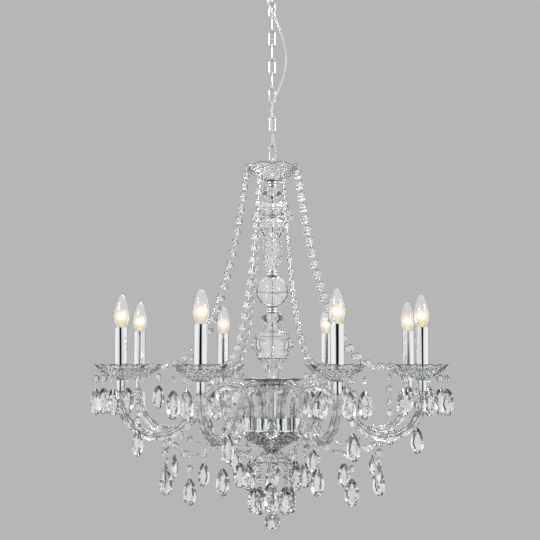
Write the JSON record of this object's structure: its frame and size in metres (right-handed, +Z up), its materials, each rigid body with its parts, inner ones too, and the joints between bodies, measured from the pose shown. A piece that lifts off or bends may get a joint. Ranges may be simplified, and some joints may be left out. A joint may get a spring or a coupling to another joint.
{
  "type": "candle chandelier",
  "caption": "Clear glass and chrome candle chandelier with curved arms, scalloped drip dishes, cut beads and drops, hung on a chain from a ceiling canopy.",
  "frame": {"origin": "on the ceiling plane, midway between the strap's two screw holes", "axes": "+Z up, away from the room; X along the ceiling strap; the chandelier hangs towards -Z"},
  "size_m": [0.7288, 0.7232, 1.2494],
  "materials": {
    "chrome": "polished chrome plate",
    "zinc_plated_steel": "zinc plated",
    "clear_glass": "clear pressed and cut glass",
    "cut_crystal": "clear faceted",
    "bulb_glass": "clear candle lamp, lit",
    "clear_pvc": "clear sheath",
    "white_plastic": "moulded",
    "lead_insulation": "extruded"
  },
  "bodies": {
    "ceiling": {"ceiling_strap": "zinc_plated_steel", "ceiling_eye": "chrome", "ceiling_nuts": "chrome", "canopy": "chrome"},
    "top_link": {"chain_top_link": "chrome"},
    "fixture": {"chain_links": "chrome", "flex": "clear_pvc", "terminal_block": "white_plastic", "column_eye": "chrome", "column_rod": "chrome", "crown_dish": "clear_glass", "collars": "chrome", "knops": "clear_glass", "upper_vase": "clear_glass", "ball_upper_half": "clear_glass", "ball_lower_half": "clear_glass", "lower_vase": "clear_glass", "fluted_stem": "clear_glass", "gallery_dish": "clear_glass", "hub_core": "clear_glass", "arm_plate": "chrome", "ferrules": "chrome", "bottom_bowl": "clear_glass", "finial_dish": "clear_glass", "rod_nut": "chrome", "arm_1": "clear_glass", "arm_2": "clear_glass", "arm_3": "clear_glass", "arm_4": "clear_glass", "arm_5": "clear_glass", "arm_6": "clear_glass", "arm_7": "clear_glass", "arm_8": "clear_glass", "candle_cups": "chrome", "nipples": "zinc_plated_steel", "bobeches": "clear_glass", "candle_tubes": "chrome", "lampholders": "white_plastic", "leads": "lead_insulation", "strand_beads": "cut_crystal", "trim_beads": "cut_crystal", "trim_drops": "cut_crystal", "hanger_rings": "chrome"},
    "bulb_1_body": {"bulb_1": "bulb_glass"},
    "bulb_2_body": {"bulb_2": "bulb_glass"},
    "bulb_3_body": {"bulb_3": "bulb_glass"},
    "bulb_4_body": {"bulb_4": "bulb_glass"},
    "bulb_5_body": {"bulb_5": "bulb_glass"},
    "bulb_6_body": {"bulb_6": "bulb_glass"},
    "bulb_7_body": {"bulb_7": "bulb_glass"},
    "bulb_8_body": {"bulb_8": "bulb_glass"},
    "arm_pendant_1_body": {"arm_pendant_1": "cut_crystal"},
    "arm_pendant_2_body": {"arm_pendant_2": "cut_crystal"},
    "arm_pendant_3_body": {"arm_pendant_3": "cut_crystal"},
    "arm_pendant_4_body": {"arm_pendant_4": "cut_crystal"},
    "arm_pendant_5_body": {"arm_pendant_5": "cut_crystal"},
    "arm_pendant_6_body": {"arm_pendant_6": "cut_crystal"},
    "arm_pendant_7_body": {"arm_pendant_7": "cut_crystal"},
    "arm_pendant_8_body": {"arm_pendant_8": "cut_crystal"},
    "finial_pendant_body": {"finial_pendant": "cut_crystal"}
  },
  "joints": [
    {"name": "eye_swing", "type": "hinge", "parent": "ceiling", "child": "top_link", "pos_m": [0, 0, -0.0756], "axis": [1, 0, 0], "range_deg": [-4.5, 4.5]},
    {"name": "link_swing", "type": "hinge", "parent": "top_link", "child": "fixture", "pos_m": [0, 0, -0.1067], "axis": [0, 1, 0], "range_deg": [-4.5, 4.5]},
    {"name": "bulb_1_out", "type": "slide", "parent": "fixture", "child": "bulb_1_body", "axis": [0, 0, 1], "range_m": [0, 0.05]},
    {"name": "bulb_2_out", "type": "slide", "parent": "fixture", "child": "bulb_2_body", "axis": [0, 0, 1], "range_m": [0, 0.05]},
    {"name": "bulb_3_out", "type": "slide", "parent": "fixture", "child": "bulb_3_body", "axis": [0, 0, 1], "range_m": [0, 0.05]},
    {"name": "bulb_4_out", "type": "slide", "parent": "fixture", "child": "bulb_4_body", "axis": [0, 0, 1], "range_m": [0, 0.05]},
    {"name": "bulb_5_out", "type": "slide", "parent": "fixture", "child": "bulb_5_body", "axis": [0, 0, 1], "range_m": [0, 0.05]},
    {"name": "bulb_6_out", "type": "slide", "parent": "fixture", "child": "bulb_6_body", "axis": [0, 0, 1], "range_m": [0, 0.05]},
    {"name": "bulb_7_out", "type": "slide", "parent": "fixture", "child": "bulb_7_body", "axis": [0, 0, 1], "range_m": [0, 0.05]},
    {"name": "bulb_8_out", "type": "slide", "parent": "fixture", "child": "bulb_8_body", "axis": [0, 0, 1], "range_m": [0, 0.05]},
    {"name": "arm_pendant_1_swing", "type": "hinge", "parent": "fixture", "child": "arm_pendant_1_body", "pos_m": [0.21835, 0.09044, -1.05737], "axis": [-0.3827, 0.9239, 0], "range_deg": [-25, 25]},
    {"name": "arm_pendant_2_swing", "type": "hinge", "parent": "fixture", "child": "arm_pendant_2_body", "pos_m": [0.09044, 0.21835, -1.05737], "axis": [-0.9239, 0.3827, 0], "range_deg": [-25, 25]},
    {"name": "arm_pendant_3_swing", "type": "hinge", "parent": "fixture", "child": "arm_pendant_3_body", "pos_m": [-0.09044, 0.21835, -1.05737], "axis": [-0.9239, -0.3827, 0], "range_deg": [-25, 25]},
    {"name": "arm_pendant_4_swing", "type": "hinge", "parent": "fixture", "child": "arm_pendant_4_body", "pos_m": [-0.21835, 0.09044, -1.05737], "axis": [-0.3827, -0.9239, 0], "range_deg": [-25, 25]},
    {"name": "arm_pendant_5_swing", "type": "hinge", "parent": "fixture", "child": "arm_pendant_5_body", "pos_m": [-0.21835, -0.09044, -1.05737], "axis": [0.3827, -0.9239, 0], "range_deg": [-25, 25]},
    {"name": "arm_pendant_6_swing", "type": "hinge", "parent": "fixture", "child": "arm_pendant_6_body", "pos_m": [-0.09044, -0.21835, -1.05737], "axis": [0.9239, -0.3827, 0], "range_deg": [-25, 25]},
    {"name": "arm_pendant_7_swing", "type": "hinge", "parent": "fixture", "child": "arm_pendant_7_body", "pos_m": [0.09044, -0.21835, -1.05737], "axis": [0.9239, 0.3827, 0], "range_deg": [-25, 25]},
    {"name": "arm_pendant_8_swing", "type": "hinge", "parent": "fixture", "child": "arm_pendant_8_body", "pos_m": [0.21835, -0.09044, -1.05737], "axis": [0.3827, 0.9239, 0], "range_deg": [-25, 25]},
    {"name": "finial_pendant_swing", "type": "hinge", "parent": "fixture", "child": "finial_pendant_body", "pos_m": [0, 0, -1.1053], "axis": [1, 0, 0], "range_deg": [-4, 4]}
  ]
}
